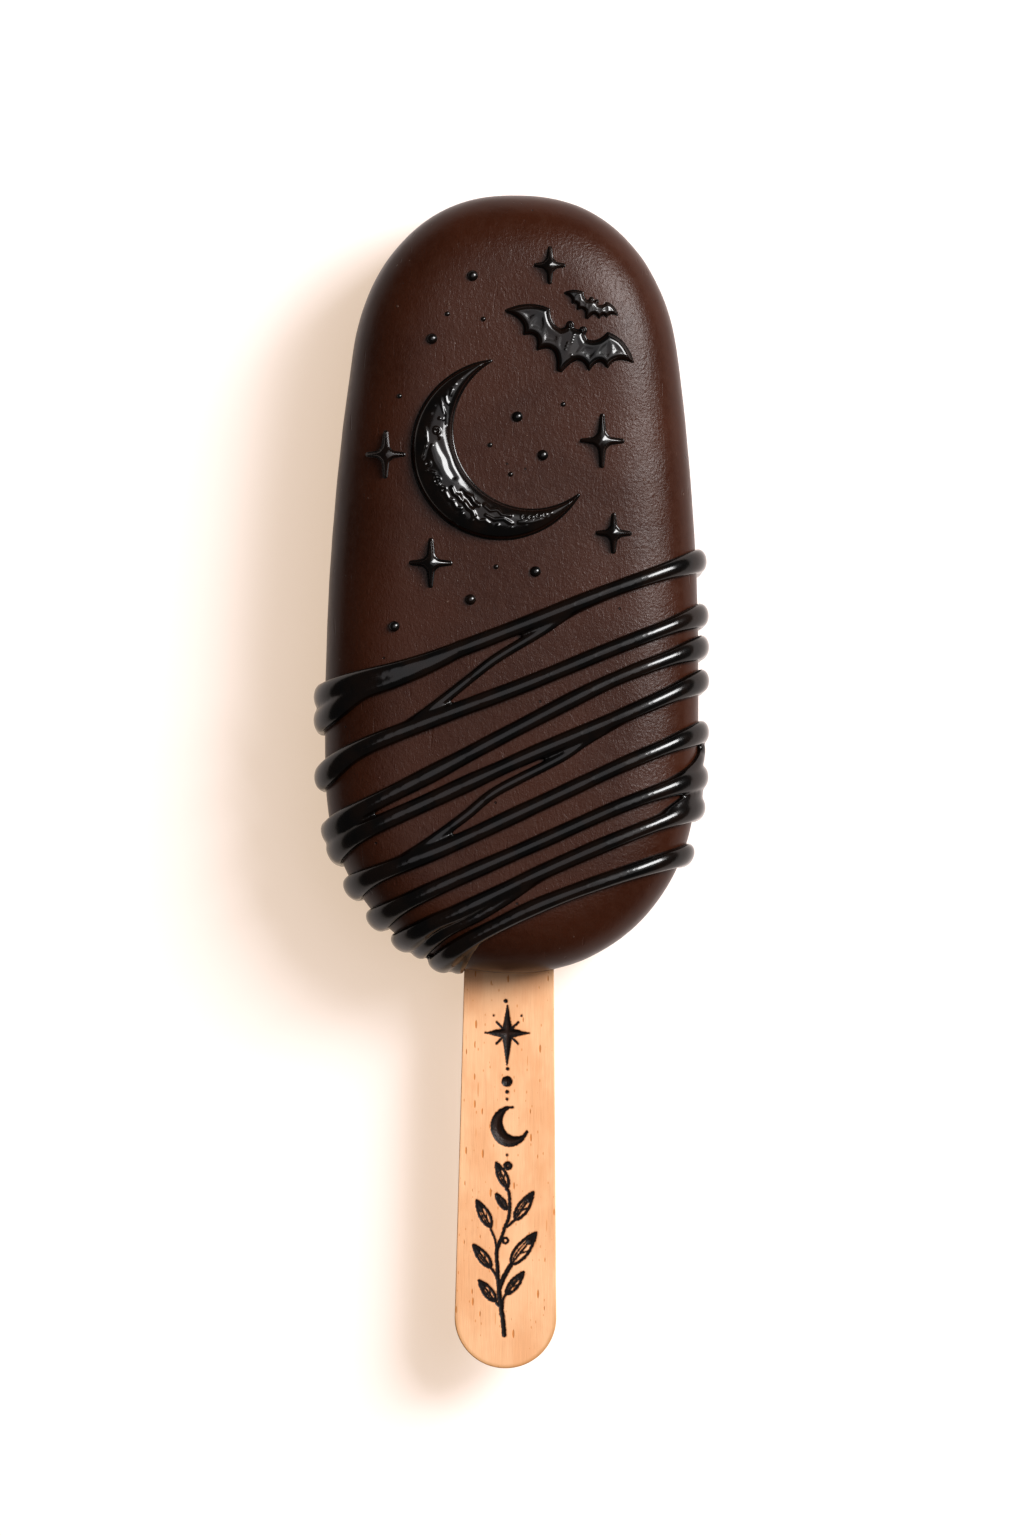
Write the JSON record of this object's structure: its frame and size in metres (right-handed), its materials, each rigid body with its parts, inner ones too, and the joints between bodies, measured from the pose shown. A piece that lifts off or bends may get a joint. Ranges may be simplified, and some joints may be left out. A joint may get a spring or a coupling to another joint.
{
  "type": "cakesicle",
  "caption": "Flat-backed oval cake bar in a dark chocolate shell, drizzled across its lower half, with a raised moon, bats and stars, on a flat wooden stick.",
  "frame": {"origin": "on the flat back, on the bar's centre line, at mid-length of the bar", "axes": "+Y from the stick towards the bar's round top, +Z out of the decorated face, +X to the right when the face is seen with the stick down"},
  "size_m": [0.0488, 0.145, 0.025],
  "materials": {
    "chocolate_shell": "satin dark chocolate with a fine leathery grain",
    "black_glaze": "glossy, near black",
    "birch_stick": "plain sanded birch with a small burned-in motif"
  },
  "bodies": {
    "root": {"bar": "chocolate_shell", "stick": "birch_stick", "crescent_moon": "black_glaze", "bat_large": "black_glaze", "bat_small": "black_glaze", "star_1": "black_glaze", "star_2": "black_glaze", "star_3": "black_glaze", "star_4": "black_glaze", "star_5": "black_glaze"}
  },
  "joints": []
}
